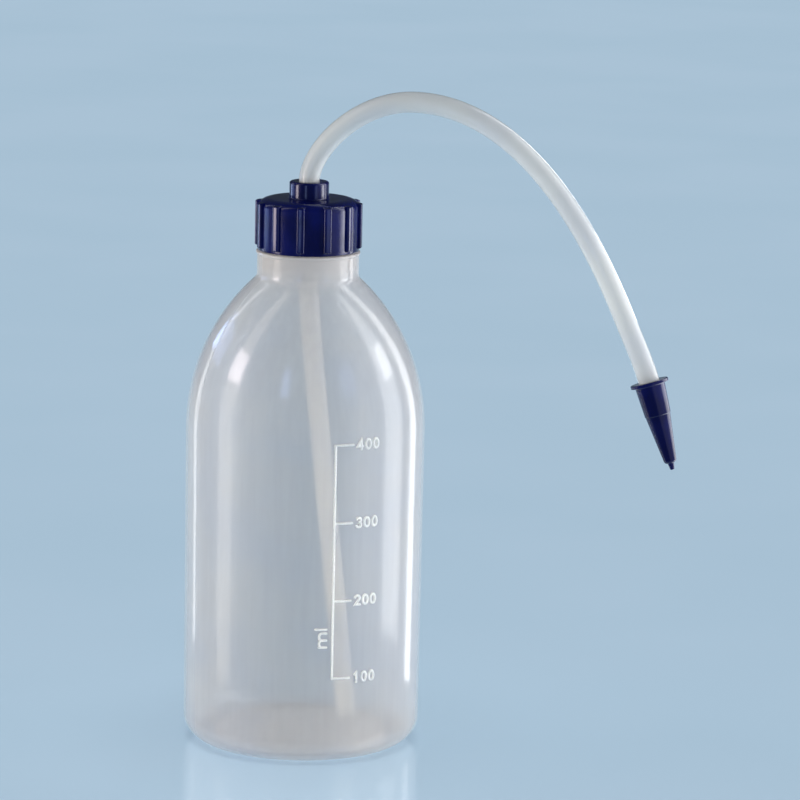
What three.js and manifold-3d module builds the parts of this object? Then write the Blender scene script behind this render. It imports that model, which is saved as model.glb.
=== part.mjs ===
// Laboratory wash bottle: a squeeze bottle, a ribbed screw cap with its sealing disc,
// one bent delivery tube that runs from the bottle's floor to the outside, and a nozzle.
// Millimetres, +Z up. The origin is the centre of the base, on the plane the bottle
// stands on, and the spout points along +X.
import * as THREE from 'three';
import { mergeVertices } from 'three/addons/utils/BufferGeometryUtils.js';
import Module from 'manifold-3d';

const wasm = await Module();
wasm.setup();

const degrees = Math.PI / 180;
const fitGap = 0.3;

// Bottle body
const bodyRadius = 37.5;
const heelRadius = 37.2;
const heelCorner = 8;
const bodyTop = 100;
const shoulderRadius = 64.5;
const wall = 1;
const standingRingInner = 27;
const panelRadius = 22;
const panelRise = 1;

// Bottle neck: a plain collar, then the threaded finish that the cap covers
const collarRadius = 16.1;
const collarTop = 156.2;
const collarBore = 14.2;
const finishRadius = 13;
const finishBore = 11;
const mouthHeight = 170;

// Screw thread, right-handed, the same lead on bottle and cap
const threadPitch = 3.2;
const threadTurns = 1.8;
const threadStart = 160.4;
const threadRootWidth = 1.8;
const threadCrestWidth = 0.8;
const threadDepth = 1;
const threadEmbed = 0.6;
const stepsPerTurn = 24;

// Screw cap
const capBottom = collarTop + fitGap;
const capTop = 172.7;
const capRadius = 15.8;
const capEdge = { across: 4, down: 2.5 };
const capBore = 14.4;
const capCeiling = 171.4;
const ribCount = 12;
const ribCrestRadius = 16.8;
const ribWidth = 2.4;
const ribBottom = capBottom + 0.9;
const ribTop = capTop - 1.5;
const ribPhase = 12.5 * degrees;
const hubRadius = 6.2;
const hubTop = 178;
const hubEdgeFillet = 0.7;

// Sealing disc between the mouth and the cap
const sealRadius = 14;

// Delivery tube
const tubeRadius = 3.25;
const tubeBore = 2.15;
const tubeSteps = 80;
const tubeSides = 12;
const boreSides = 8;
const tubeHole = tubeRadius + fitGap + 0.05;
const dipEnd = { x: 15.4, z: 8.7 };
const dipBend = { x: 3, z: 116 };
const neckLine = 158;
const apex = { x: 35.2, z: 204.7 };
const downBend = { x: 102.5, z: 145.2, lean: 25 * degrees };

// Nozzle, measured from the top of its flange along its own axis
const nozzleTop = { x: 112, z: 123.9, lean: 17.5 * degrees };
const nozzleLength = 27.9;
const flangeRadius = 5.9;
const flangeThickness = 1.1;
const nozzleRadius = 4.65;
const nozzleStep = { at: 10.5, above: 4.03, below: 3.88 };
const nozzleNose = { at: 25.6, radius: 1.97 };
const nippleRadius = 1;
const nippleTipRadius = 0.65;
const socketDepth = 7.6;
const tubeInsertion = socketDepth - fitGap;
const jetRadius = 0.4;

const roundSegments = 40;
const smallSegments = 24;

const milkyPlastic = new THREE.MeshStandardMaterial({
  color: 0xdde2ea, roughness: 0.35, metalness: 0, transparent: true, opacity: 0.6,
});
const tubePlastic = new THREE.MeshStandardMaterial({
  color: 0xe6e9ec, roughness: 0.3, metalness: 0, transparent: true, opacity: 0.85,
});
const navyPlastic = new THREE.MeshStandardMaterial({ color: 0x161c58, roughness: 0.25, metalness: 0 });
const sealFoam = new THREE.MeshStandardMaterial({ color: 0xe9e9e4, roughness: 0.8, metalness: 0 });

// Points on an arc in the radius-height plane, both ends included.
function arc(centreRadius, centreHeight, radius, fromAngle, toAngle, steps) {
  const points = [];
  for (let i = 0; i <= steps; i += 1) {
    const angle = fromAngle + (toAngle - fromAngle) * i / steps;
    const across = centreRadius + radius * Math.cos(angle);
    const up = centreHeight + radius * Math.sin(angle);
    points.push([across, up]);
  }
  return points;
}

// Points on a quarter ellipse that rounds an outer edge, from the side up to the top.
function roundedEdge(radius, height, across, down, steps) {
  return arc(0, 0, 1, 0, Math.PI / 2, steps).map(
    ([side, up]) => [radius - across + across * side, height - down + down * up],
  );
}

// Turns a profile of [radius, height] points about +Z.
function turned(profile, segments) {
  const points = profile.map(([radius, height]) => new THREE.Vector2(radius, height));
  return new THREE.LatheGeometry(points, segments).rotateX(Math.PI / 2);
}

// A closed profile whose last point meets its first.
function closed(profile) {
  return [...profile, profile[0]];
}

// A geometry as a solid that can be joined and cut.
function toSolid(geometry) {
  geometry.deleteAttribute('normal');
  geometry.deleteAttribute('uv');
  const merged = mergeVertices(geometry);
  const corners = merged.index.array;
  const triangles = [];
  for (let i = 0; i < corners.length; i += 3) {
    const [a, b, c] = corners.slice(i, i + 3);
    if (a !== b && b !== c && c !== a) triangles.push(a, b, c);
  }
  return new wasm.Manifold(new wasm.Mesh({
    numProp: 3,
    vertProperties: Float32Array.from(merged.attributes.position.array),
    triVerts: Uint32Array.from(triangles),
  }));
}

// A solid back as a geometry.
function toGeometry(solid) {
  const mesh = solid.getMesh();
  const geometry = new THREE.BufferGeometry();
  geometry.setAttribute('position', new THREE.BufferAttribute(mesh.vertProperties, 3));
  geometry.setIndex(new THREE.BufferAttribute(mesh.triVerts, 1));
  geometry.computeVertexNormals();
  return geometry;
}

// A ridge of trapezoid section laid along the thread's helix, from rootRadius to crestRadius.
function threadRidge(rootRadius, crestRadius, startHeight) {
  const outward = Math.sign(crestRadius - rootRadius);
  const foot = rootRadius - outward * threadEmbed;
  const section = new THREE.Shape([
    new THREE.Vector2(-threadRootWidth / 2, foot),
    new THREE.Vector2(-threadRootWidth / 2, rootRadius),
    new THREE.Vector2(-threadCrestWidth / 2, crestRadius),
    new THREE.Vector2(threadCrestWidth / 2, crestRadius),
    new THREE.Vector2(threadRootWidth / 2, rootRadius),
    new THREE.Vector2(threadRootWidth / 2, foot),
  ]);
  const steps = Math.round(threadTurns * stepsPerTurn);
  const ridge = new THREE.ExtrudeGeometry(section, { depth: 1, steps, bevelEnabled: false });
  const position = ridge.attributes.position;
  for (let i = 0; i < position.count; i += 1) {
    const turns = position.getZ(i) * threadTurns;
    const angle = turns * 2 * Math.PI;
    const radius = position.getY(i);
    const height = startHeight + position.getX(i) + turns * threadPitch;
    position.setXYZ(i, radius * Math.cos(angle), radius * Math.sin(angle), height);
  }
  return ridge;
}

function bottleGeometry() {
  const shoulderCentre = bodyRadius - shoulderRadius;
  const innerShoulder = shoulderRadius - wall;
  const shoulderEnd = Math.acos((collarRadius - shoulderCentre) / shoulderRadius);
  const innerShoulderEnd = Math.acos((collarBore - shoulderCentre) / innerShoulder);
  const heelCentre = heelRadius - heelCorner;
  const quarter = Math.PI / 2;
  const profile = [
    [0, panelRise],
    [panelRadius, panelRise],
    [standingRingInner, 0],
    ...arc(heelCentre, heelCorner, heelCorner, -quarter, 0, 5),
    ...arc(shoulderCentre, bodyTop, shoulderRadius, 0, shoulderEnd, 9),
    [collarRadius, collarTop - 0.5],
    [collarRadius - 0.5, collarTop],
    [finishRadius, collarTop],
    [finishRadius, mouthHeight - 0.5],
    [finishRadius - 0.5, mouthHeight],
    [finishBore + 0.4, mouthHeight],
    [finishBore, mouthHeight - 0.4],
    [finishBore, collarTop + wall],
    [collarBore, collarTop - 2 * wall],
    ...arc(shoulderCentre, bodyTop, innerShoulder, innerShoulderEnd, 0, 9),
    ...arc(heelCentre, heelCorner, heelCorner - wall, 0, -quarter, 4),
    [standingRingInner, wall],
    [panelRadius + wall / 2, panelRise + wall],
    [0, panelRise + wall],
  ];
  const blank = toSolid(turned(profile, roundSegments));
  const ridge = threadRidge(finishRadius, finishRadius + threadDepth, threadStart);
  return toGeometry(blank.add(toSolid(ridge)));
}

function screwCapGeometry() {
  const profile = closed([
    [capRadius, capBottom],
    ...roundedEdge(capRadius, capTop, capEdge.across, capEdge.down, 5),
    [hubRadius, capTop],
    ...roundedEdge(hubRadius, hubTop, hubEdgeFillet, hubEdgeFillet, 2),
    [tubeHole, hubTop],
    [tubeHole, capCeiling],
    [capBore, capCeiling],
    [capBore, capBottom],
  ]);
  let cap = toSolid(turned(profile, roundSegments));
  const ribShape = new THREE.Shape([
    new THREE.Vector2(capRadius - 0.6, -ribWidth / 2),
    new THREE.Vector2(ribCrestRadius - 0.5, -ribWidth / 2),
    new THREE.Vector2(ribCrestRadius, -ribWidth / 4),
    new THREE.Vector2(ribCrestRadius, ribWidth / 4),
    new THREE.Vector2(ribCrestRadius - 0.5, ribWidth / 2),
    new THREE.Vector2(capRadius - 0.6, ribWidth / 2),
  ]);
  for (let i = 0; i < ribCount; i += 1) {
    const rib = new THREE.ExtrudeGeometry(ribShape, { depth: ribTop - ribBottom, bevelEnabled: false });
    rib.translate(0, 0, ribBottom);
    rib.rotateZ(ribPhase + i * 2 * Math.PI / ribCount);
    cap = cap.add(toSolid(rib));
  }
  // The cap's ridge lies midway between the turns of the bottle's ridge.
  const ridge = threadRidge(capBore, finishRadius + threadDepth / 2, threadStart - threadPitch / 2);
  return toGeometry(cap.add(toSolid(ridge)));
}

function capSealGeometry() {
  return turned(closed([
    [sealRadius, mouthHeight + fitGap],
    [sealRadius, capCeiling - fitGap],
    [tubeHole, capCeiling - fitGap],
    [tubeHole, mouthHeight + fitGap],
  ]), roundSegments);
}

// A point in the tube's plane.
function inPlane(x, z) {
  return new THREE.Vector3(x, 0, z);
}

// The tube's centreline: slanted up from the bottle's floor, upright through the neck and
// hub, over the arch, and down into the nozzle.
function deliveryRoute() {
  const start = inPlane(dipEnd.x, dipEnd.z);
  const bend = inPlane(dipBend.x, dipBend.z);
  const slant = bend.clone().sub(start).normalize();
  const neck = inPlane(0, neckLine);
  const hub = inPlane(0, hubTop);
  const top = inPlane(apex.x, apex.z);
  const down = inPlane(downBend.x, downBend.z);
  const downAim = inPlane(Math.sin(downBend.lean), -Math.cos(downBend.lean));
  const entry = inPlane(nozzleTop.x, nozzleTop.z);
  const nozzleAim = inPlane(Math.sin(nozzleTop.lean), -Math.cos(nozzleTop.lean));
  const end = entry.clone().addScaledVector(nozzleAim, tubeInsertion);
  const route = new THREE.CurvePath();
  route.add(new THREE.LineCurve3(start, bend));
  route.add(new THREE.CubicBezierCurve3(
    bend, bend.clone().addScaledVector(slant, 16), inPlane(0, neckLine - 16), neck,
  ));
  route.add(new THREE.LineCurve3(neck, hub));
  route.add(new THREE.CubicBezierCurve3(
    hub, inPlane(0, hubTop + 9.5), inPlane(apex.x - 19.5, apex.z), top,
  ));
  route.add(new THREE.CubicBezierCurve3(
    top, inPlane(apex.x + 34.5, apex.z), down.clone().addScaledVector(downAim, -26), down,
  ));
  route.add(new THREE.CubicBezierCurve3(
    down, down.clone().addScaledVector(downAim, 12), entry.clone().addScaledVector(nozzleAim, -5), entry,
  ));
  route.add(new THREE.LineCurve3(entry, end));
  return route;
}

function ringOfPoints(radius, sides) {
  const points = [];
  for (let i = 0; i < sides; i += 1) {
    const angle = i * 2 * Math.PI / sides;
    points.push(new THREE.Vector2(radius * Math.cos(angle), radius * Math.sin(angle)));
  }
  return points;
}

function deliveryTubeGeometry() {
  const section = new THREE.Shape(ringOfPoints(tubeRadius, tubeSides));
  section.holes.push(new THREE.Path(ringOfPoints(tubeBore, boreSides)));
  return new THREE.ExtrudeGeometry(section, { steps: tubeSteps, extrudePath: deliveryRoute() });
}

// The nozzle stands along its own axis, flange top at zero and tip downward.
function nozzleGeometry() {
  return turned(closed([
    [jetRadius, -nozzleLength],
    [nippleTipRadius, -nozzleLength],
    [nippleRadius, -nozzleNose.at - 0.3],
    [nozzleNose.radius - 0.4, -nozzleNose.at],
    [nozzleNose.radius, -nozzleNose.at + 0.5],
    [nozzleStep.below, -nozzleStep.at - 0.1],
    [nozzleStep.above, -nozzleStep.at],
    [nozzleRadius, -flangeThickness],
    [flangeRadius, -flangeThickness],
    [flangeRadius, -0.25],
    [flangeRadius - 0.25, 0],
    [tubeHole, 0],
    [tubeHole, -socketDepth],
    [tubeBore, -socketDepth - 0.4],
    [jetRadius, -nozzleNose.at + 1],
  ]), smallSegments);
}

function named(name, geometry, material) {
  const mesh = new THREE.Mesh(geometry, material);
  mesh.name = name;
  return mesh;
}

const washBottle = new THREE.Group();
washBottle.add(named('bottle', bottleGeometry(), milkyPlastic));

const head = new THREE.Group();
head.add(named('cap_seal', capSealGeometry(), sealFoam));
head.add(named('screw_cap', screwCapGeometry(), navyPlastic));
washBottle.add(head);

const spout = new THREE.Group();
spout.add(named('delivery_tube', deliveryTubeGeometry(), tubePlastic));
const nozzle = named('nozzle', nozzleGeometry(), navyPlastic);
nozzle.position.set(nozzleTop.x, 0, nozzleTop.z);
nozzle.rotation.y = -nozzleTop.lean;
spout.add(nozzle);
head.add(spout);

export default washBottle;
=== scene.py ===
"""Looks of the laboratory wash bottle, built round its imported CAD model.

Sizes below are millimetres unless a name or comment says otherwise; Blender itself is in
metres. The bottle stands on z = 0 with its axis on +Z, and the spout points along +X.
Outlines are lists of (radius, height), with an optional third number that rounds the corner.
Shader distances and the studio are in metres.
"""

import math

import bmesh
import bpy
import numpy as np
from mathutils import Matrix, Vector


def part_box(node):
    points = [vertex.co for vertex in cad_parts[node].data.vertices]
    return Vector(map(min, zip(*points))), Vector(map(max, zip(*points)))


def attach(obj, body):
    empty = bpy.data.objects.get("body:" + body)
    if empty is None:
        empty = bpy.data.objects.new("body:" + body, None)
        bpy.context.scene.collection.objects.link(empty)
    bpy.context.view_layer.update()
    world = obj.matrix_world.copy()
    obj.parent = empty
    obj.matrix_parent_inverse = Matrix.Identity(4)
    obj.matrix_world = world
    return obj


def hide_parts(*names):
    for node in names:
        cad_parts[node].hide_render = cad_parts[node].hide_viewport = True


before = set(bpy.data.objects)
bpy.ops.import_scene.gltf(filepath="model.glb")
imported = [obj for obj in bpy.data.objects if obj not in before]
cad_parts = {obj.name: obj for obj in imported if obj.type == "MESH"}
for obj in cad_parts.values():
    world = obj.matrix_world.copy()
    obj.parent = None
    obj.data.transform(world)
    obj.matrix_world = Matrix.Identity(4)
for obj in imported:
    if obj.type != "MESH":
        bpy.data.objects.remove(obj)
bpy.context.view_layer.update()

MM = 0.001
TURN = 2 * math.pi


def cad_box_of(node):
    """Lowest and highest corner of a CAD node."""
    low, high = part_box(node)
    return low / MM, high / MM


bottle_high = cad_box_of("bottle")[1]
cap_low, cap_high = cad_box_of("screw_cap")
seal_low, seal_high = cad_box_of("cap_seal")

# Bottle
BODY_RADIUS = bottle_high.x
HEEL_RADIUS = BODY_RADIUS - 0.3
HEEL_CORNER = 8
BODY_TOP = 100
SHOULDER_RADIUS = 64.5
WALL = 1
RING_INNER = 27.6
PANEL_RADIUS = 26
PANEL_RISE = 2.8
COLLAR_RADIUS = 15.95
RIM_PROUD = 0.32
RIM_HEIGHT = 0.7
COLLAR_TOP = 156.2
COLLAR_BORE = 14.2
FINISH_RADIUS = 13
FINISH_BORE = 11
MOUTH = bottle_high.z
NECK_FILLET = 2.6
PARTING_HEIGHT = 0.07
PARTING_DEPTH_BELOW = 0.35
PARTING_WIDTH = 0.55
PARTING_ANGLE = math.radians(48)

# Screw thread, of the same lead on bottle and cap
THREAD_PITCH = 3.2
THREAD_TURNS = 1.8
THREAD_START = 160.4
THREAD_ROOT = 1.8
THREAD_CREST = 0.8
THREAD_DEPTH = 1
CAP_THREAD_DEPTH = 0.9
THREAD_FADE = 0.04

# Screw cap
CAP_BOTTOM = cap_low.z
HUB_TOP = cap_high.z
CAP_TOP = HUB_TOP - 5.3
CAP_RADIUS = 15.8
CAP_EDGE_ACROSS = 4
CAP_EDGE_DOWN = 2.5
CAP_BORE = 14.4
CAP_CEILING = CAP_TOP - 1.3
RIB_COUNT = 12
RIB_BOTTOM = CAP_BOTTOM + 0.9
RIB_TOP = CAP_TOP - 0.95
RIB_CREST = 16.8
RIB_WIDTH = 2.6
RIB_ROUNDING = 0.55
RIB_END = 0.5
RIB_PHASE = math.radians(12.5)
HUB_RADIUS = 6.2

# Delivery tube, in the plane y = 0
TUBE_RADIUS = 3.24
TUBE_BORE = 2.15
TUBE_HOLE = 3.32
DIP_END = (15.4, 8.7)
DIP_BEND = (3, 116)
NECK_LINE = 158
APEX = (35.2, 204.7)
DOWN_BEND = (102.5, 145.2)
DOWN_LEAN = math.radians(25)

# Nozzle, measured from the top of its flange along its own axis
NOZZLE_TOP = (112, 123.9)
NOZZLE_LEAN = math.radians(17.5)
NOZZLE_LENGTH = 27.9
FLANGE_RADIUS = 5.9
FLANGE_THICKNESS = 1.1
NOZZLE_RADIUS = 4.65
NOZZLE_STEP = 10.5
STEP_ABOVE = 4.03
STEP_BELOW = 3.88
NOSE = 25.6
NOSE_RADIUS = 1.97
NIPPLE_RADIUS = 1
NIPPLE_TIP = 0.65
SOCKET_DEPTH = 7.6
TUBE_INSERTION = 7.3
JET_RADIUS = 0.4

# Moulded scale: a line with ticks, numbers right of it and a small unit left of it
SCALE_AZIMUTH = math.radians(-54.2)
SCALE_TOP = 101.5
SCALE_STEP = 24.53
SCALE_VALUES = (400, 300, 200, 100)
TICK_LENGTH = 5.6
DIGIT_START = 6.75
DIGIT_PITCH = 2.8
DIGIT_WIDTH = 2.5
DIGIT_HEIGHT = 3.75
UNIT_OFFSET = -2
UNIT_START = 38
UNIT_SIZE = 3.4
UNIT_GAP = 1.3
UNIT_LETTERS = (("m", 4.4), ("l", 0))
STROKE_WIDTH = 0.8
STROKE_HEIGHT = 0.5
STROKE_ROOT = 0.12

# How clear the bottle's wall is where it is thicker, as a share of the rest
NECK_CLARITY = 0.18
FLOOR_CLARITY = 0.45
HEEL_CLARITY = 0.6

# Studio, lengths in metres
FLOOR_REACH = 30
SOFT_BOX_HEIGHT = 0.9
OVERHEAD_SPREAD = math.radians(50)
STRIP_TOP = 0.42
CAP_STRIP_FOOT = 0.142
CAP_STRIP_TOP = 0.178
CAP_STRIP_DISTANCE = 0.1

# Camera, at the photograph's viewing angle. Its place and aim are in metres, before it is
# swung round the bottle.
CAMERA_PLACE = (0.02953, -1.4, 0.378)
CAMERA_AIM = (0.02953, 0, 0.10925)
CAMERA_SWING = math.radians(20)
CAMERA_ROLL = math.radians(1.16)
CAMERA_LENS = 204.56

# The level direction from the bottle to the camera
VIEW_AZIMUTH = math.radians(-68.8)


# ---------------------------------------------------------------- outlines and meshes

def arc(centre_radius, centre_height, radius, start, end, steps):
    """Points on an arc in the radius-height plane, angles in radians."""
    angles = np.linspace(start, end, steps + 1)
    return [
        (centre_radius + radius * math.cos(a), centre_height + radius * math.sin(a))
        for a in angles
    ]


def rounded(corners, loop=True, step=math.radians(15)):
    """The outline with an arc at each corner that gives a radius as its third number."""
    points = []
    for i, corner in enumerate(corners):
        here = np.array(corner[:2], float)
        is_end = not loop and i in (0, len(corners) - 1)
        if len(corner) < 3 or is_end:
            points.append(here)
            continue
        before = here - corners[i - 1][:2]
        after = corners[(i + 1) % len(corners)][:2] - here
        before /= np.linalg.norm(before)
        after /= np.linalg.norm(after)
        turn = math.acos(np.clip(before @ after, -1, 1))
        reach = corner[2] * math.tan(turn / 2)
        middle = after - before
        centre = here + middle / np.linalg.norm(middle) * corner[2] / math.cos(turn / 2)
        first = here - before * reach - centre
        last = here + after * reach - centre
        count = max(2, math.ceil(turn / step))
        for k in np.linspace(0, 1, count + 1):
            spoke = (math.sin((1 - k) * turn) * first + math.sin(k * turn) * last) / math.sin(turn)
            points.append(centre + spoke)
    return np.array(points)


def refined(outline, low, high, step, loop=True):
    """Adds points to the outline's stretches between two heights, at most step apart."""
    points = []
    count = len(outline) if loop else len(outline) - 1
    for i in range(count):
        start = outline[i]
        end = outline[(i + 1) % len(outline)]
        points.append(start)
        inside = min(start[1], end[1]) < high and max(start[1], end[1]) > low
        if inside:
            cuts = math.ceil(np.linalg.norm(end - start) / step)
            points += [start + (end - start) * k / cuts for k in range(1, cuts)]
    if not loop:
        points.append(outline[-1])
    return np.array(points)


def smooth_step(x):
    """Rises smoothly from 0 to 1 as x does."""
    x = np.clip(x, 0, 1)
    return x * x * (3 - 2 * x)


def ring_faces(row_count, column_count, joins_up, first=0):
    """Faces between rings of points that are numbered from first.

    joins_up also links the last ring to the first.
    """
    faces = []
    for row in range(row_count if joins_up else row_count - 1):
        this_row = first + row * column_count
        next_row = first + (row + 1) % row_count * column_count
        for column in range(column_count):
            beside = (column + 1) % column_count
            faces.append((
                this_row + column,
                this_row + beside,
                next_row + beside,
                next_row + column,
            ))
    return faces


def grid_piece(name, rings, joins_up=False, inside_from=None):
    """A mesh through rings of points. Faces from row inside_from on take the second material."""
    rings = np.asarray(rings)
    row_count, column_count = rings.shape[:2]
    faces = ring_faces(row_count, column_count, joins_up)
    mesh = bpy.data.meshes.new(name)
    mesh.from_pydata((rings.reshape(-1, 3) * MM).tolist(), [], faces)
    if inside_from:
        slots = [int(i // column_count >= inside_from) for i in range(len(faces))]
        mesh.polygons.foreach_set("material_index", slots)
    return finished(name, mesh)


def finished(name, mesh, merge=0.0005 * MM):
    """Joins points that coincide, drops empty faces, shades smooth and links the object."""
    work = bmesh.new()
    work.from_mesh(mesh)
    bmesh.ops.remove_doubles(work, verts=work.verts, dist=merge)
    bmesh.ops.dissolve_degenerate(work, edges=work.edges, dist=merge)
    work.to_mesh(mesh)
    work.free()
    mesh.shade_smooth()
    mesh.set_sharp_from_angle(angle=math.radians(50))
    piece = bpy.data.objects.new(name, mesh)
    bpy.context.scene.collection.objects.link(piece)
    return piece


def turned(name, outline, angles, swell=None, joins_up=True, inside_from=None):
    """Turns an outline about +Z. swell(radius, height, angles) may add to radius and height."""
    rings = []
    for radius, height in outline:
        reach = np.full(len(angles), float(radius))
        up = np.full(len(angles), float(height))
        if swell:
            more, higher = swell(radius, height, angles)
            reach = reach + more
            up = up + higher
        rings.append(np.stack([reach * np.cos(angles), reach * np.sin(angles), up], axis=1))
    return grid_piece(name, rings, joins_up, inside_from)


def even_angles(count):
    """Angles all the way round, evenly spaced."""
    return np.arange(count) * TURN / count


def weighted_normals(piece):
    """Keeps flat faces flat beside small rounded edges."""
    modifier = piece.modifiers.new("even_shading", "WEIGHTED_NORMAL")
    modifier.keep_sharp = True
    modifier.weight = 60


def angle_between(angles, centre):
    """Signed difference of angles from a centre, from minus to plus half a turn."""
    return (angles - centre + math.pi) % TURN - math.pi


def thread_ridge(angles, height, start):
    """How far the screw thread stands out at each angle, at one height, from 0 to 1."""
    ridge = np.zeros(len(angles))
    for whole_turns in range(math.ceil(THREAD_TURNS)):
        turns = angles / TURN + whole_turns
        off = np.abs(height - start - THREAD_PITCH * turns)
        flank = (THREAD_ROOT / 2 - off) / (THREAD_ROOT - THREAD_CREST) * 2
        end = np.minimum(turns, THREAD_TURNS - turns) / THREAD_FADE
        ridge = np.maximum(ridge, smooth_step(flank) * smooth_step(end))
    return ridge


# ---------------------------------------------------------------- pieces

def bottle_columns():
    """Even angles, with closer ones along the two parting lines."""
    near = np.radians([0, 0.25, 0.5, 0.9, 1.5])
    close = [side * angle for side in (-1, 1) for angle in near]
    extra = [PARTING_ANGLE + half + a for half in (0, math.pi) for a in close]
    angles = np.concatenate([even_angles(144), extra]) % TURN
    angles = np.unique(np.round(angles, 6))
    keep = np.append(np.diff(angles) > math.radians(0.15), True)
    return angles[keep]


def bottle_swell(radius, height, angles):
    """The neck's thread, and the mould's parting line on the sides and under the base."""
    from_parting = np.abs(angle_between(2 * angles, 2 * PARTING_ANGLE)) / 2
    distance = radius * np.sin(np.minimum(from_parting, math.pi / 2))
    line = smooth_step(1 - distance / PARTING_WIDTH)
    none = np.zeros(len(angles))
    if abs(radius - FINISH_RADIUS) < 0.01:
        return THREAD_DEPTH * thread_ridge(angles, height, THREAD_START), none
    outside = height < COLLAR_TOP - 0.6 and radius > side_radius(height) - 0.2
    if outside and height > 1:
        return PARTING_HEIGHT * line, none
    if height < PANEL_RISE + 0.5 and radius < PANEL_RADIUS - 1:
        return none, -PARTING_DEPTH_BELOW * line * smooth_step(radius / 3)
    return none, none


def side_radius(height):
    """Radius of the bottle's outside at a height up to the collar's top."""
    if height < HEEL_CORNER:
        below = HEEL_CORNER - height
        return HEEL_RADIUS - HEEL_CORNER + math.sqrt(max(0, HEEL_CORNER**2 - below**2))
    if height < BODY_TOP:
        share = (height - HEEL_CORNER) / (BODY_TOP - HEEL_CORNER)
        return HEEL_RADIUS + (BODY_RADIUS - HEEL_RADIUS) * share
    above = height - BODY_TOP
    across = math.sqrt(max(0, SHOULDER_RADIUS**2 - above**2))
    return max(COLLAR_RADIUS, BODY_RADIUS - SHOULDER_RADIUS + across)


def bottle_outline():
    """Up the outside from the middle of the base, over the mouth and down the inside."""
    quarter = math.pi / 2
    heel_centre = HEEL_RADIUS - HEEL_CORNER
    shoulder_centre = BODY_RADIUS - SHOULDER_RADIUS
    outer_end = math.acos((COLLAR_RADIUS - shoulder_centre) / SHOULDER_RADIUS)
    inner_radius = SHOULDER_RADIUS - WALL
    inner_end = math.acos((COLLAR_BORE - shoulder_centre) / inner_radius)
    outer_shoulder = arc(shoulder_centre, BODY_TOP, SHOULDER_RADIUS, 0, outer_end, 26)
    inner_shoulder = arc(shoulder_centre, BODY_TOP, inner_radius, inner_end, 0, 26)
    outside = [
        (0, PANEL_RISE),
        (PANEL_RADIUS / 2, PANEL_RISE),
        (PANEL_RADIUS, PANEL_RISE, 2),
        (RING_INNER, 0, 1),
        *arc(heel_centre, HEEL_CORNER, HEEL_CORNER, -quarter, 0, 12),
        *outer_shoulder[:-1],
        (*outer_shoulder[-1], NECK_FILLET),
        (COLLAR_RADIUS, COLLAR_TOP - RIM_HEIGHT - 0.3, 0.3),
        (COLLAR_RADIUS + RIM_PROUD, COLLAR_TOP - RIM_HEIGHT, 0.2),
        (COLLAR_RADIUS + RIM_PROUD, COLLAR_TOP, 0.3),
        (FINISH_RADIUS, COLLAR_TOP, 0.4),
        (FINISH_RADIUS, MOUTH, 0.6),
        (FINISH_BORE, MOUTH, 0.4),
    ]
    inside = [
        (FINISH_BORE, COLLAR_TOP + WALL, 1),
        (COLLAR_BORE, COLLAR_TOP - 2 * WALL, 1.5),
        (*inner_shoulder[0], NECK_FILLET - WALL),
        *inner_shoulder[1:],
        *arc(heel_centre, HEEL_CORNER, HEEL_CORNER - WALL, 0, -quarter, 10),
        (RING_INNER, WALL, 1),
        (PANEL_RADIUS + 0.5, PANEL_RISE + WALL, 1.5),
        (PANEL_RADIUS / 2, PANEL_RISE + WALL),
        (0, PANEL_RISE + WALL),
    ]
    outline = rounded(outside + inside, loop=False)
    return refined(outline, COLLAR_TOP + 0.5, MOUTH - 0.7, 0.22, loop=False)


def make_bottle():
    """The blow-moulded bottle as one shell with a real wall."""
    outline = bottle_outline()
    mouth_row = int(np.argmax(outline[:, 1]))
    bottle = turned(
        "bottle_shell", outline, bottle_columns(), bottle_swell,
        joins_up=False, inside_from=mouth_row,
    )
    bottle.data.materials.append(milky_wall("milky_outside", clear=0.54, roughness=0.09))
    bottle.data.materials.append(milky_wall("milky_inside", clear=0.86, roughness=0.18))
    return bottle


def rib_flank(turn):
    """Distance from a rib's middle line, at a point turn radians round its rounded edge."""
    return RIB_WIDTH / 2 - RIB_ROUNDING * (1 - math.cos(turn))


def cap_columns():
    """Closer angles across the rounded edges of each rib."""
    flank = [rib_flank(a) for a in np.linspace(math.pi / 2, 0, 7)]
    half = np.array([0, 0.3, *flank, RIB_WIDTH / 2 + 0.05, 1.5, 2, 2.8, 3.6]) / CAP_RADIUS
    period = np.concatenate([-half[:0:-1], half, [math.pi / RIB_COUNT]])
    angles = [RIB_PHASE + i * TURN / RIB_COUNT + period for i in range(RIB_COUNT)]
    return np.sort(np.concatenate(angles) % TURN)


def cap_swell(radius, height, angles):
    """The ribs outside and the thread inside."""
    none = np.zeros(len(angles))
    if abs(radius - CAP_BORE) < 0.01 and height > CAP_BOTTOM:
        ridge = thread_ridge(angles, height, THREAD_START - THREAD_PITCH / 2)
        return -CAP_THREAD_DEPTH * ridge, none
    if radius < CAP_BORE + 0.2 or height < CAP_BOTTOM + 0.3:
        return none, none
    from_rib = np.abs(angle_between(angles * RIB_COUNT, RIB_PHASE * RIB_COUNT)) / RIB_COUNT
    into_rib = (RIB_WIDTH / 2 - from_rib * CAP_RADIUS) / RIB_ROUNDING
    flank = rounded_rise(into_rib)
    foot = rounded_rise((height - RIB_BOTTOM) / RIB_END)
    head = rounded_rise((RIB_TOP - height) / RIB_END)
    return (RIB_CREST - radius) * flank * foot * head, none


def rounded_rise(x):
    """Rises from 0 to 1 along a quarter circle as x does."""
    return np.sqrt(1 - (1 - np.clip(x, 0, 1)) ** 2)


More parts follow.
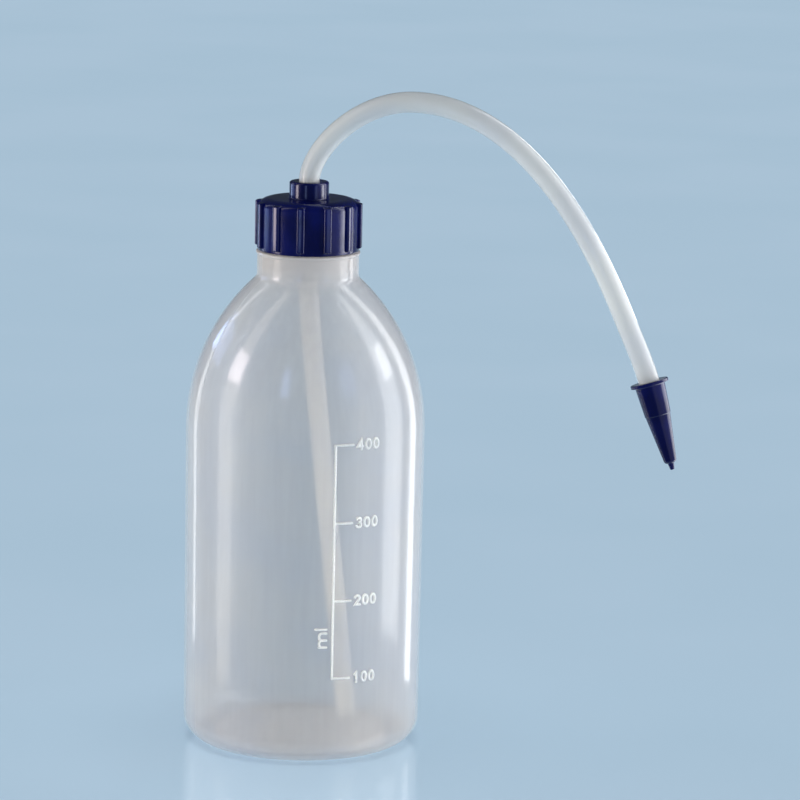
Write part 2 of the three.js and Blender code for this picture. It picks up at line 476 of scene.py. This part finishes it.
def make_cap():
    """The ribbed screw cap with its hub, moulded in one."""
    edge = []
    for angle in np.linspace(0, math.pi / 2, 13):
        across = CAP_EDGE_ACROSS * (1 - math.cos(angle))
        down = CAP_EDGE_DOWN * (1 - math.sin(angle))
        edge.append((CAP_RADIUS - across, CAP_TOP - down))
    outline = rounded([
        (CAP_BORE, CAP_BOTTOM, 0.2),
        (CAP_RADIUS, CAP_BOTTOM, 0.3),
        *edge,
        (HUB_RADIUS, CAP_TOP, 0.5),
        (HUB_RADIUS, HUB_TOP, 0.75),
        (TUBE_HOLE, HUB_TOP, 0.3),
        (TUBE_HOLE, CAP_CEILING, 0.2),
        (CAP_BORE, CAP_CEILING, 0.5),
    ])
    outline = refined(outline, THREAD_START - THREAD_PITCH, CAP_CEILING, 0.4)
    outline = refined(outline, RIB_BOTTOM - 0.1, RIB_BOTTOM + RIB_END, 0.12)
    outline = refined(outline, RIB_TOP - RIB_END, RIB_TOP + 0.1, 0.12)
    cap = turned("ribbed_cap", outline, cap_columns(), cap_swell)
    weighted_normals(cap)
    return cap


def make_seal():
    """The foam disc between the mouth and the cap."""
    outline = rounded([
        (seal_high.x, seal_low.z, 0.2),
        (seal_high.x, seal_high.z, 0.2),
        (TUBE_HOLE, seal_high.z, 0.15),
        (TUBE_HOLE, seal_low.z, 0.15),
    ])
    seal = turned("foam_seal", outline, even_angles(96))
    weighted_normals(seal)
    return seal


def bezier(p0, p1, p2, p3, steps):
    """Points and directions along a cubic curve, without its first point."""
    points = np.array([p0, p1, p2, p3], float)
    legs = np.diff(points, axis=0)
    found = []
    for k in range(1, steps + 1):
        t = k / steps
        s = 1 - t
        place = np.array([s**3, 3 * s * s * t, 3 * s * t * t, t**3]) @ points
        slope = np.array([s * s, 2 * s * t, t * t]) @ legs
        found.append((place, slope / np.linalg.norm(slope)))
    return found


def straight(start, end, steps):
    """Points and directions along a line, without its first point."""
    start, end = np.array(start, float), np.array(end, float)
    aim = (end - start) / np.linalg.norm(end - start)
    return [(start + (end - start) * k / steps, aim) for k in range(1, steps + 1)]


def tube_route():
    """The tube's centreline in x and z: up from the floor, over the arch, into the nozzle."""
    down_aim = np.array([math.sin(DOWN_LEAN), -math.cos(DOWN_LEAN)])
    nozzle_aim = np.array([math.sin(NOZZLE_LEAN), -math.cos(NOZZLE_LEAN)])
    slant = np.array(DIP_BEND, float) - DIP_END
    slant /= np.linalg.norm(slant)
    entry = np.array(NOZZLE_TOP)
    down = np.array(DOWN_BEND)
    end = entry + nozzle_aim * TUBE_INSERTION
    route = [(np.array(DIP_END), slant)]
    route += straight(DIP_END, DIP_BEND, 16)
    route += bezier(DIP_BEND, DIP_BEND + slant * 16, (0, NECK_LINE - 16), (0, NECK_LINE), 20)
    route += straight((0, NECK_LINE), (0, HUB_TOP), 4)
    route += bezier((0, HUB_TOP), (0, HUB_TOP + 9.5), (APEX[0] - 19.5, APEX[1]), APEX, 40)
    route += bezier(APEX, (APEX[0] + 34.5, APEX[1]), down - down_aim * 26, down, 60)
    route += bezier(down, down + down_aim * 12, entry - nozzle_aim * 5, entry, 14)
    route += straight(entry, end, 4)
    return route


def make_tube():
    """The delivery tube with its bore, one sweep from end to end."""
    sides = even_angles(32)
    rim = 0.25
    route = tube_route()
    across = np.array([0.0, 1.0, 0.0])

    def ring(place, aim, radius):
        """A ring round the route, in a plane square to it."""
        ahead = np.array([aim[0], 0.0, aim[1]])
        other = np.cross(ahead, across)
        centre = np.array([place[0], 0.0, place[1]])
        spokes = np.outer(np.cos(sides), across) - np.outer(np.sin(sides), other)
        return centre + radius * spokes

    def rim_rings(place, aim, inward, radii):
        """The rounded edge of a cut end; inward points into the tube."""
        depths = (0, rim * 0.3, rim)
        return [ring(place + inward * depth, aim, radius) for depth, radius in zip(depths, radii)]

    start, start_aim = route[0]
    end, end_aim = route[-1]
    outer_radii = (TUBE_RADIUS - rim, TUBE_RADIUS - rim * 0.3, TUBE_RADIUS)
    inner_radii = (TUBE_BORE + rim * 0.6, TUBE_BORE + rim * 0.2, TUBE_BORE)
    rings = rim_rings(start, start_aim, start_aim, outer_radii)
    rings += [ring(place, aim, TUBE_RADIUS) for place, aim in route[1:-1]]
    rings += rim_rings(end, end_aim, -end_aim, outer_radii)[::-1]
    rings += rim_rings(end, end_aim, -end_aim, inner_radii)
    rings += [ring(place, aim, TUBE_BORE) for place, aim in route[-2:0:-1]]
    rings += rim_rings(start, start_aim, start_aim, inner_radii)[::-1]
    return grid_piece("bent_tube", rings, joins_up=True)


def make_nozzle():
    """The push-on nozzle, turned on its own axis and then set on the tube's end."""
    outline = rounded([
        (JET_RADIUS, -NOZZLE_LENGTH, 0.05),
        (NIPPLE_TIP, -NOZZLE_LENGTH, 0.2),
        (NIPPLE_RADIUS, -NOSE - 0.3, 0.25),
        (NOSE_RADIUS - 0.3, -NOSE, 0.3),
        (NOSE_RADIUS, -NOSE + 0.5, 0.3),
        (STEP_BELOW, -NOZZLE_STEP - 0.15, 0.1),
        (STEP_ABOVE, -NOZZLE_STEP, 0.1),
        (NOZZLE_RADIUS, -FLANGE_THICKNESS, 0.35),
        (FLANGE_RADIUS, -FLANGE_THICKNESS, 0.25),
        (FLANGE_RADIUS, 0, 0.3),
        (TUBE_HOLE, 0, 0.2),
        (TUBE_HOLE, -SOCKET_DEPTH, 0.3),
        (TUBE_BORE, -SOCKET_DEPTH - 0.4, 0.2),
        (JET_RADIUS, -NOSE + 1, 0.2),
    ])
    nozzle = turned("tapered_nozzle", outline, even_angles(72))
    place = Matrix.Translation(Vector((NOZZLE_TOP[0], 0, NOZZLE_TOP[1])) * MM)
    nozzle.data.transform(place @ Matrix.Rotation(-NOZZLE_LEAN, 4, "Y"))
    weighted_normals(nozzle)
    return nozzle


# ---------------------------------------------------------------- moulded scale

def bend(centre, across, up, start, end, steps):
    """Points on an ellipse, angles in degrees."""
    angles = np.radians(np.linspace(start, end, steps + 1))
    return [(centre[0] + across * math.cos(a), centre[1] + up * math.sin(a)) for a in angles]


# Each character is a list of strokes in a cell one wide and one high. A stroke that ends
# where it starts is a loop.
CHARACTERS = {
    "0": [bend((0.5, 0.5), 0.5, 0.5, 0, 360, 20)],
    "1": [[(0.2, 0.74), (0.58, 1), (0.58, 0)]],
    "2": [bend((0.5, 0.7), 0.48, 0.3, 165, -20, 9) + [(0.04, 0), (1, 0)]],
    "3": [
        bend((0.48, 0.75), 0.44, 0.25, 150, -80, 9)
        + bend((0.48, 0.26), 0.5, 0.26, 80, -150, 10),
    ],
    "4": [[(0.74, 0), (0.74, 1), (0, 0.3), (1, 0.3)]],
    "m": [
        [(0, 0), (0, 0.68)],
        [(0, 0.4)] + bend((0.25, 0.43), 0.25, 0.23, 150, 0, 6) + [(0.5, 0)],
        [(0.5, 0.4)] + bend((0.75, 0.43), 0.25, 0.23, 150, 0, 6) + [(1, 0)],
    ],
    "l": [[(0, 0), (0, 1)]],
}


def stroke_rings(path):
    """Rings of (along, up, proud) round a flat path, and whether the path is a loop.

    The stroke is a low dome, with rounded ends if it isn't a loop.
    """
    path = np.array(path, float)
    is_loop = np.linalg.norm(path[0] - path[-1]) < 1e-6
    if is_loop:
        path = path[:-1]
    half = STROKE_WIDTH / 2
    section = [(-1, -STROKE_ROOT), (-0.98, 0.1), (-0.82, 0.3), (-0.45, 0.44), (0, STROKE_HEIGHT)]
    section += [(-side, proud) for side, proud in section[-2::-1]]
    rings = []
    for i, here in enumerate(path):
        before = path[i - 1] if i or is_loop else here
        after = path[(i + 1) % len(path)] if i < len(path) - 1 or is_loop else here
        came = unit(here - before)
        goes = unit(after - here)
        aim = unit(came + goes)
        side = np.array([-aim[1], aim[0]])
        widen = 1 / max(0.5, abs(aim @ (goes if np.any(goes) else came)))
        rings.append([(*(here + side * across * half * widen), proud) for across, proud in section])
    if is_loop:
        return rings, True
    start = rounded_end(rings, path[0], path[0] - path[1], 1)
    end = rounded_end(rings, path[-1], path[-1] - path[-2], -1)
    return start + rings[1:-1] + end, False


def rounded_end(rings, tip, outward, order):
    """The rings that close a stroke in a half dome. order is 1 at its start and -1 at its end."""
    outward = unit(np.array(outward))
    base = np.array(rings[0 if order == 1 else -1])
    made = []
    for angle in (85, 62, 40, 20, 0):
        swing = math.radians(angle)
        ring = base.copy()
        ring[:, :2] = tip + (base[:, :2] - tip) * math.cos(swing)
        ring[:, :2] += outward * STROKE_WIDTH / 2 * math.sin(swing)
        proud = ring[:, 2]
        ring[:, 2] = np.where(proud > 0, proud * max(0.25, math.cos(swing)) ** 0.5, proud)
        made.append(ring.tolist())
    return made[::order]


def unit(vector):
    """The vector at length one, or zero if it has no length."""
    length = np.linalg.norm(vector)
    return vector / length if length > 1e-9 else vector * 0


def scale_strokes():
    """Every stroke of the scale, as paths in millimetres along and up the bottle's side."""
    bottom = SCALE_TOP - SCALE_STEP * (len(SCALE_VALUES) - 1)
    strokes = [[(0, bottom), (0, SCALE_TOP)]]
    inner_width = DIGIT_WIDTH - STROKE_WIDTH
    inner_height = DIGIT_HEIGHT - STROKE_WIDTH
    for i, value in enumerate(SCALE_VALUES):
        level = SCALE_TOP - SCALE_STEP * i
        strokes.append([(0, level), (TICK_LENGTH, level)])
        for place, digit in enumerate(str(value)):
            left = DIGIT_START + STROKE_WIDTH / 2 + place * DIGIT_PITCH
            foot = level - inner_height / 2
            for path in CHARACTERS[digit]:
                strokes.append([(left + x * inner_width, foot + y * inner_height) for x, y in path])
    start = UNIT_START
    for letter, width in UNIT_LETTERS:
        for path in CHARACTERS[letter]:
            strokes.append([(UNIT_OFFSET - y * UNIT_SIZE, start + x * width) for x, y in path])
        start += width + UNIT_GAP
    return strokes


def make_scale():
    """The scale's raised strokes, wrapped on the bottle's side and rooted in its wall."""
    points, faces = [], []
    for path in scale_strokes():
        rings, is_loop = stroke_rings(subdivided(path))
        base = len(points)
        width = len(rings[0])
        for ring in rings:
            for along, up, proud in ring:
                radius = side_radius(up) + proud
                azimuth = SCALE_AZIMUTH + along / BODY_RADIUS
                points.append((radius * math.cos(azimuth), radius * math.sin(azimuth), up))
        faces += ring_faces(len(rings), width, is_loop, base)
        if not is_loop:
            faces.append([base + column for column in reversed(range(width))])
            faces.append([base + (len(rings) - 1) * width + column for column in range(width)])
    mesh = bpy.data.meshes.new("scale_relief")
    mesh.from_pydata((np.array(points) * MM).tolist(), [], faces)
    work = bmesh.new()
    work.from_mesh(mesh)
    bmesh.ops.recalc_face_normals(work, faces=work.faces)
    work.to_mesh(mesh)
    work.free()
    mesh.shade_smooth()
    mesh.set_sharp_from_angle(angle=math.radians(60))
    relief = bpy.data.objects.new("scale_relief", mesh)
    bpy.context.scene.collection.objects.link(relief)
    return relief


def subdivided(path, longest=1.5):
    """The path with no stretch longer than a limit, so that it follows the round wall."""
    points = [path[0]]
    for start, end in zip(path, path[1:]):
        start, end = np.array(start), np.array(end)
        cuts = max(1, math.ceil(np.linalg.norm(end - start) / longest))
        points += [start + (end - start) * k / cuts for k in range(1, cuts + 1)]
    return points


# ---------------------------------------------------------------- materials

def colour(red, green, blue):
    """A display colour, 0 to 255, as the linear colour that Blender takes."""
    linear = [
        c / 255 / 12.92 if c <= 10 else ((c / 255 + 0.055) / 1.055) ** 2.4
        for c in (red, green, blue)
    ]
    return (*linear, 1)


class Nodes:
    """An emptied node tree, with short names for the nodes used here."""

    def __init__(self, tree):
        self.tree = tree
        self.tree.nodes.clear()

    def node(self, kind, inputs=(), **settings):
        """Adds a node. inputs is (socket name or index, value or output) pairs."""
        made = self.tree.nodes.new(kind)
        for key, value in settings.items():
            setattr(made, key, value)
        for key, value in inputs:
            if isinstance(value, bpy.types.NodeSocket):
                self.tree.links.new(value, made.inputs[key])
            else:
                made.inputs[key].default_value = value
        return made

    def spread(self, value, low, high, to_low, to_high, curve="SMOOTHSTEP"):
        """Maps low..high to to_low..to_high and holds it there outside."""
        made = self.node("ShaderNodeMapRange", [
            ("Value", value), ("From Min", low), ("From Max", high),
            ("To Min", to_low), ("To Max", to_high),
        ], interpolation_type=curve)
        return made.outputs[0]

    def math(self, operation, a, b):
        """One step of arithmetic on two values."""
        return self.node("ShaderNodeMath", [(0, a), (1, b)], operation=operation).outputs[0]

    def mixed(self, share, a, b):
        """Shader a turning to shader b as share goes from 0 to 1."""
        return self.node("ShaderNodeMixShader", [(0, share), (1, a), (2, b)]).outputs[0]


class Shader(Nodes):
    """A material's nodes."""

    def __init__(self, name):
        self.material = bpy.data.materials.new(name)
        self.material.use_nodes = True
        super().__init__(self.material.node_tree)
        self.place = self.node("ShaderNodeTexCoord").outputs["Object"]

    def noise(self, size, detail=3, stretch=(1, 1, 1)):
        """Noise whose features are about size millimetres, longer along an axis by its stretch."""
        squeeze = [1 / s for s in stretch]
        mapped = self.node("ShaderNodeMapping", [("Vector", self.place), ("Scale", squeeze)])
        made = self.node("ShaderNodeTexNoise", [
            ("Vector", mapped.outputs[0]), ("Scale", 1 / (size * MM)), ("Detail", detail),
        ])
        return made.outputs[0]

    def height(self):
        """Height above the table."""
        return self.node("ShaderNodeSeparateXYZ", [(0, self.place)]).outputs[2]

    def from_axis(self):
        """Distance from the bottle's axis."""
        level = self.node(
            "ShaderNodeVectorMath", [(0, self.place), (1, (1, 1, 0))], operation="MULTIPLY"
        )
        reach = self.node("ShaderNodeVectorMath", [(0, level.outputs[0])], operation="LENGTH")
        return reach.outputs["Value"]

    def varied(self, noise, to_low, to_high, margin=0.3):
        """Maps a noise's usual range, which leaves out a margin at both ends, to other values."""
        return self.spread(noise, margin, 1 - margin, to_low, to_high)

    def blend(self, share, a, b):
        """Colour a turning to colour b as share goes from 0 to 1."""
        made = self.node("ShaderNodeMix", [(0, share), (6, a), (7, b)], data_type="RGBA")
        return made.outputs[2]

    def clouded(self, noise, a, b, margin=0.3):
        """Colour a turning to colour b as the noise goes up."""
        return self.blend(self.varied(noise, 0, 1, margin), a, b)

    def bump(self, height, depth, normal=None):
        """A bump of at most depth millimetres."""
        inputs = [("Height", height), ("Distance", depth * MM), ("Strength", 1)]
        if normal:
            inputs.append(("Normal", normal))
        return self.node("ShaderNodeBump", inputs).outputs[0]

    def gloss_share(self, normal, at_front=0.042):
        """Schlick's share of light that a smooth plastic surface reflects."""
        weight = self.node("ShaderNodeLayerWeight", [("Blend", 0.5), ("Normal", normal)])
        edge = self.math("POWER", weight.outputs["Facing"], 5)
        return self.spread(edge, 0, 1, at_front, 1, curve="LINEAR")

    def finish(self, surface):
        """Puts the surface on the material and gives the material back."""
        self.node("ShaderNodeOutputMaterial", [("Surface", surface)])
        return self.material


def milky_surface(shader, body, clear, normal, roughness, translucence=0.5):
    """One face of a milky plastic wall: part clear, part scattering, with a glossy skin."""
    scattered = shader.mixed(
        translucence,
        shader.node("ShaderNodeBsdfDiffuse", [("Color", body), ("Normal", normal)]).outputs[0],
        shader.node("ShaderNodeBsdfTranslucent", [("Color", body), ("Normal", normal)]).outputs[0],
    )
    through = shader.node("ShaderNodeBsdfTransparent", [("Color", (1, 1, 1, 1))]).outputs[0]
    gloss = shader.node("ShaderNodeBsdfGlossy", [
        ("Color", (1, 1, 1, 1)), ("Roughness", roughness), ("Normal", normal),
    ]).outputs[0]
    inner = shader.mixed(clear, scattered, through)
    return shader.mixed(shader.gloss_share(normal), inner, gloss)


def milky_wall(name, clear, roughness):
    """Natural blow-moulded polyethylene: cloudy, thicker and whiter at the neck and the floor."""
    shader = Shader(name)
    height = shader.height()
    cloud = shader.noise(26, detail=2)
    flow = shader.noise(3, detail=2, stretch=(1, 1, 14))
    grain = shader.noise(0.9, detail=3)
    peel = shader.noise(4.5, detail=2)
    cool = colour(232, 231, 235)
    warm = colour(242, 237, 234)
    body = shader.clouded(cloud, cool, warm, 0.35)
    # From 0 to 1: how much a point belongs to the neck, the heel and the floor inside
    at_neck = shader.spread(height, 0.142, 0.158, 0, 1)
    at_heel = shader.spread(height, 0.001, 0.006, 1, 0)
    at_floor = shader.math(
        "MINIMUM",
        shader.spread(shader.from_axis(), 0.0262, 0.028, 1, 0),
        shader.spread(height, 0.0045, 0.006, 1, 0),
    )
    thick = shader.math("MAXIMUM", at_neck, at_floor)
    body = shader.blend(shader.math("MULTIPLY", thick, 0.8), body, colour(252, 244, 238))
    streaks = shader.varied(flow, -0.012, 0.012)
    clouds = shader.varied(cloud, -0.025, 0.025)
    clarity = shader.math("ADD", shader.math("ADD", streaks, clouds), clear)
    thicker = ((at_neck, NECK_CLARITY), (at_floor, FLOOR_CLARITY), (at_heel, HEEL_CLARITY))
    for place, share in thicker:
        clarity = shader.math("MULTIPLY", clarity, shader.spread(place, 0, 1, 1, share))
    normal = shader.bump(peel, 0.03)
    normal = shader.bump(flow, 0.004, normal)
    normal = shader.bump(grain, 0.003, normal)
    skin = shader.varied(grain, roughness, roughness + 0.06, 0.25)
    translucence = shader.spread(at_floor, 0, 1, 0.5, 0.85)
    return shader.finish(milky_surface(shader, body, clarity, normal, skin, translucence))


def raised_scale():
    """The scale's strokes: the bottle's plastic, whiter where it is thicker."""
    shader = Shader("milky_relief")
    cloud = shader.noise(5, detail=2)
    grain = shader.noise(0.5, detail=2)
    body = shader.clouded(cloud, colour(226, 229, 231), colour(234, 236, 238))
    normal = shader.bump(grain, 0.01)
    clarity = shader.varied(cloud, 0, 0.06)
    roughness = shader.varied(grain, 0.2, 0.3)
    return shader.finish(milky_surface(shader, body, clarity, normal, roughness, 0.15))


def milky_tube():
    """Extruded polyethylene tube: whiter and less clear than the bottle, and slightly wavy."""
    shader = Shader("milky_tube")
    cloud = shader.noise(18, detail=2)
    grain = shader.noise(0.8, detail=3)
    wave = shader.noise(7, detail=1)
    body = shader.clouded(cloud, colour(244, 245, 246), colour(250, 250, 248), 0.35)
    clarity = shader.varied(cloud, 0.26, 0.34)
    normal = shader.bump(wave, 0.02)
    normal = shader.bump(grain, 0.004, normal)
    roughness = shader.varied(grain, 0.14, 0.2)
    return shader.finish(milky_surface(shader, body, clarity, normal, roughness, 0.45))


def navy_plastic():
    """Glossy moulded navy polypropylene with faint flow marks and handling marks."""
    shader = Shader("navy_plastic")
    cloud = shader.noise(9, detail=2)
    grain = shader.noise(0.5, detail=3)
    marks = shader.noise(1.2, detail=4, stretch=(1, 1, 5))
    body = shader.clouded(cloud, colour(3, 9, 66), colour(6, 16, 88))
    normal = shader.bump(cloud, 0.02)
    normal = shader.bump(grain, 0.005, normal)
    handled = shader.spread(marks, 0.55, 0.75, 0, 0.08)
    roughness = shader.math("ADD", shader.varied(grain, 0.14, 0.2), handled)
    surface = shader.node("ShaderNodeBsdfPrincipled", [
        ("Base Color", body), ("Roughness", roughness), ("Normal", normal), ("IOR", 1.5),
    ]).outputs[0]
    return shader.finish(surface)


def seal_foam():
    """Closed-cell foam: off-white, matt, with fine pores."""
    shader = Shader("seal_foam")
    pores = shader.noise(0.35, detail=3)
    cloud = shader.noise(6, detail=2)
    body = shader.clouded(cloud, colour(232, 231, 224), colour(242, 241, 236))
    normal = shader.bump(shader.spread(pores, 0.35, 0.5, 0, 1), 0.05)
    roughness = shader.varied(pores, 0.75, 0.9)
    surface = shader.node("ShaderNodeBsdfPrincipled", [
        ("Base Color", body), ("Roughness", roughness), ("Normal", normal),
    ]).outputs[0]
    return shader.finish(surface)


def studio_floor():
    """A plain pale table top with an even, slightly blurred reflection."""
    shader = Shader("studio_floor")
    cloud = shader.noise(160, detail=2)
    grain = shader.noise(1.5, detail=3)
    body = shader.clouded(cloud, colour(180, 206, 225), colour(183, 208, 227))
    normal = shader.bump(grain, 0.004)
    matt = shader.node("ShaderNodeBsdfDiffuse", [("Color", body), ("Normal", normal)]).outputs[0]
    gloss = shader.node("ShaderNodeBsdfGlossy", [
        ("Roughness", shader.varied(cloud, 0.09, 0.12)), ("Normal", normal),
    ]).outputs[0]
    return shader.finish(shader.mixed(0.25, matt, gloss))


# ---------------------------------------------------------------- studio

def bearing(angle_right):
    """A level direction at an angle to the right of the camera's, seen from the bottle."""
    azimuth = VIEW_AZIMUTH + math.radians(angle_right)
    return Vector((math.cos(azimuth), math.sin(azimuth), 0))


def area_light(name, place, towards, width, height, radiance, tint):
    """A rectangular light whose brightness doesn't depend on its size."""
    data = bpy.data.lights.new(name, "AREA")
    data.shape = "RECTANGLE"
    data.size = width
    data.size_y = height
    data.energy = radiance * math.pi * width * height
    data.color = tint[:3]
    light = bpy.data.objects.new(name, data)
    bpy.context.scene.collection.objects.link(light)
    light.location = place
    light.rotation_euler = (towards - place).to_track_quat("-Z", "Y").to_euler()
    light.visible_camera = False
    light.light_linking.receiver_collection = lit_object
    return light


def gloss_strip(
    name, tint, angle, half_angle, distance, radiance, foot=0, top=STRIP_TOP, radius=BODY_RADIUS
):
    """An upright strip that only shows as a reflection in a round wall.

    Its reflection lies at an angle to the right of the wall's line nearest to the camera.
    """
    height = top - foot
    wall = bearing(angle) * radius * MM + Vector((0, 0, foot + height / 2))
    middle = wall + bearing(2 * angle) * distance
    width = 2 * distance * math.tan(math.radians(2 * half_angle))
    light = area_light(name, middle, wall, width, height, radiance, tint)
    light.visible_diffuse = False
    light.visible_transmission = False
    return light


def cap_strip(name, tint, angle, half_angle, radiance):
    """A short strip at the cap's height, for the cap's side and hub."""
    gloss_strip(
        name, tint, angle, half_angle, CAP_STRIP_DISTANCE, radiance,
        foot=CAP_STRIP_FOOT, top=CAP_STRIP_TOP, radius=CAP_RADIUS,
    )


def keep_to(light, parts):
    """Makes a light reach some pieces only, through everything else, and not show in gloss."""
    light.light_linking.receiver_collection = parts
    light.light_linking.blocker_collection = parts
    light.visible_glossy = False


def narrow_beam():
    """A beam on the tube inside the bottle, which the cloudy wall would hide, and on the scale."""
    middle = Vector((0.006, 0, 0.065))
    place = middle + bearing(-6) * 0.5
    tint = colour(255, 243, 222)
    light = area_light("narrow_beam", place, middle, 0.1, 0.05, radiance=2.5, tint=tint)
    light.data.spread = math.radians(26)
    keep_to(light, lit_by_beam)


def under_light():
    """A small light under the table for the bottle's base, which the walls keep dark otherwise."""
    place = Vector((0, 0, -0.03))
    tint = colour(255, 238, 220)
    size = 0.05
    light = area_light("under_light", place, Vector(), size, size, radiance=0.6, tint=tint)
    keep_to(light, lit_from_below)


def make_floor():
    """A table top so wide that its edge is out of sight."""
    mesh = bpy.data.meshes.new("studio_floor")
    signs = [(-1, -1), (1, -1), (1, 1), (-1, 1)]
    corners = [(x * FLOOR_REACH, y * FLOOR_REACH, 0) for x, y in signs]
    mesh.from_pydata(corners, [], [(0, 1, 2, 3)])
    floor = bpy.data.objects.new("studio_floor", mesh)
    bpy.context.scene.collection.objects.link(floor)
    mesh.materials.append(studio_floor())
    lit_floor.objects.link(floor)
    floor.visible_glossy = False


def make_world():
    """A pale room for the camera, which gives little light.

    Glossy surfaces see it dim, except where the far end of the floor would be.
    """
    world = bpy.data.worlds.new("studio")
    world.use_nodes = True
    nodes = Nodes(world.node_tree)
    direction = nodes.node("ShaderNodeTexCoord").outputs["Generated"]
    far_and_low = nodes.node("ShaderNodeVectorMath", [
        (0, direction), (1, Vector((0, 0, -2)) - bearing(0)),
    ], operation="DOT_PRODUCT").outputs["Value"]
    ray = nodes.node("ShaderNodeLightPath").outputs
    over_floor = nodes.spread(far_and_low, 0.8, 1.2, 0, 1, curve="LINEAR")
    in_gloss = nodes.math("MULTIPLY", over_floor, ray["Is Glossy Ray"])
    share = nodes.math("MAXIMUM", in_gloss, ray["Is Camera Ray"])
    dim = nodes.node("ShaderNodeBackground", [("Color", colour(190, 208, 228)), ("Strength", 0.1)])
    pale = nodes.node("ShaderNodeBackground", [("Color", colour(172, 197, 215)), ("Strength", 1)])
    surface = nodes.mixed(share, dim.outputs[0], pale.outputs[0])
    nodes.node("ShaderNodeOutputWorld", [("Surface", surface)])
    bpy.context.scene.world = world


def soft_box(name, tint, angle, distance, lift, width, radiance):
    """A large soft light beside the bottle, at an angle to the right of the camera."""
    middle = Vector((0.02, 0, 0.1))
    place = Vector((0.02, 0, lift)) + bearing(angle) * distance
    light = area_light(name, place, middle, width, SOFT_BOX_HEIGHT, radiance, tint)
    light.visible_glossy = False


def overhead_light(name, brightness, receivers, blockers=None):
    """Even light from straight above; brightness is that of a white floor under it."""
    data = bpy.data.lights.new(name, "SUN")
    data.energy = brightness * math.pi
    data.angle = OVERHEAD_SPREAD
    light = bpy.data.objects.new(name, data)
    bpy.context.scene.collection.objects.link(light)
    light.visible_glossy = False
    light.light_linking.receiver_collection = receivers
    light.light_linking.blocker_collection = blockers


def make_lights():
    """All the lights. Strips stand at the angles where the photograph shows highlights."""
    warm = colour(255, 246, 234)
    white = colour(252, 253, 255)
    cream = colour(255, 243, 228)
    pink = colour(255, 240, 244)
    sky = colour(170, 195, 255)
    overhead_light("floor_light", 0.55, lit_floor, lit_floor)
    overhead_light("floor_shadow", 0.5, lit_floor)
    overhead_light("overhead", 0.03, lit_object)
    soft_box("left_box", warm, angle=-84, distance=0.9, lift=0.3, width=0.6, radiance=3.4)
    soft_box("right_box", white, angle=84, distance=0.9, lift=0.2, width=0.6, radiance=6.8)
    soft_box("front_box", white, angle=-12, distance=1.5, lift=0.5, width=1.4, radiance=1.2)
    narrow_beam()
    under_light()
    gloss_strip("strip_left", cream, -41.5, half_angle=5, distance=0.08, radiance=1.8)
    gloss_strip(
        "strip_left_top", cream, -41.5, half_angle=5, distance=0.08, radiance=4.4, foot=0.06
    )
    gloss_strip("strip_back_left", white, -66.2, half_angle=1.2, distance=0.13, radiance=3)
    right = gloss_strip("strip_right", white, 63.7, half_angle=3.2, distance=0.08, radiance=4.5)
    # It would glare on the nozzle's flange
    right.light_linking.receiver_collection = lit_but_nozzle
    gloss_strip("strip_right_line", white, 53.4, half_angle=0.5, distance=0.13, radiance=3)
    gloss_strip("strip_right_near", white, 47, half_angle=6, distance=0.14, radiance=3.2)
    gloss_strip("strip_right_soft", white, 36, half_angle=17, distance=0.15, radiance=0.35)
    cap_strip("cap_strip_left", pink, -38, half_angle=4.5, radiance=7)
    cap_strip("cap_strip_edge", sky, -64, half_angle=1.5, radiance=8)
    cap_strip("cap_strip_side", sky, -56, half_angle=5, radiance=2)
    cap_strip("cap_strip_front", sky, -10, half_angle=2, radiance=3)
    cap_strip("cap_strip_near", sky, 21, half_angle=4, radiance=1.2)
    cap_strip("cap_strip_right", white, 46, half_angle=4, radiance=5)


def make_camera():
    """A long lens at the photograph's viewing angle."""
    data = bpy.data.cameras.new("camera")
    data.lens = CAMERA_LENS
    camera = bpy.data.objects.new("camera", data)
    bpy.context.scene.collection.objects.link(camera)
    swing = Matrix.Rotation(CAMERA_SWING, 3, "Z")
    place = swing @ Vector(CAMERA_PLACE)
    aim = swing @ Vector(CAMERA_AIM)
    roll = Matrix.Rotation(CAMERA_ROLL, 3, "Z")
    turn = (aim - place).to_track_quat("-Z", "Y").to_matrix() @ roll
    camera.matrix_world = Matrix.Translation(place) @ turn.to_4x4()
    bpy.context.scene.camera = camera


# ---------------------------------------------------------------- assembly

# Which pieces some of the lights reach
lit_object = bpy.data.collections.new("lit_object")
lit_floor = bpy.data.collections.new("lit_floor")
lit_by_beam = bpy.data.collections.new("lit_by_beam")
lit_from_below = bpy.data.collections.new("lit_from_below")
lit_but_nozzle = bpy.data.collections.new("lit_but_nozzle")


def settle(piece, body, node, material=None):
    """Puts a piece in a CAD node's place on its body."""
    lit_object.objects.link(piece)
    if node != "nozzle":
        lit_but_nozzle.objects.link(piece)
    if material:
        piece.data.materials.append(material)
    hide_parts(node)
    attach(piece, body)


navy = navy_plastic()
bottle = make_bottle()
relief = make_scale()
tube = make_tube()
lit_by_beam.objects.link(relief)
lit_by_beam.objects.link(tube)
lit_from_below.objects.link(bottle)
settle(bottle, "bottle_body", "bottle")
settle(relief, "bottle_body", "bottle", raised_scale())
settle(make_seal(), "seal_body", "cap_seal", seal_foam())
settle(make_cap(), "cap_body", "screw_cap", navy)
settle(tube, "spout_body", "delivery_tube", milky_tube())
settle(make_nozzle(), "nozzle_body", "nozzle", navy)

make_floor()
make_world()
make_lights()
make_camera()
bpy.context.scene.view_settings.view_transform = "Standard"
bpy.context.scene.cycles.transparent_max_bounces = 32
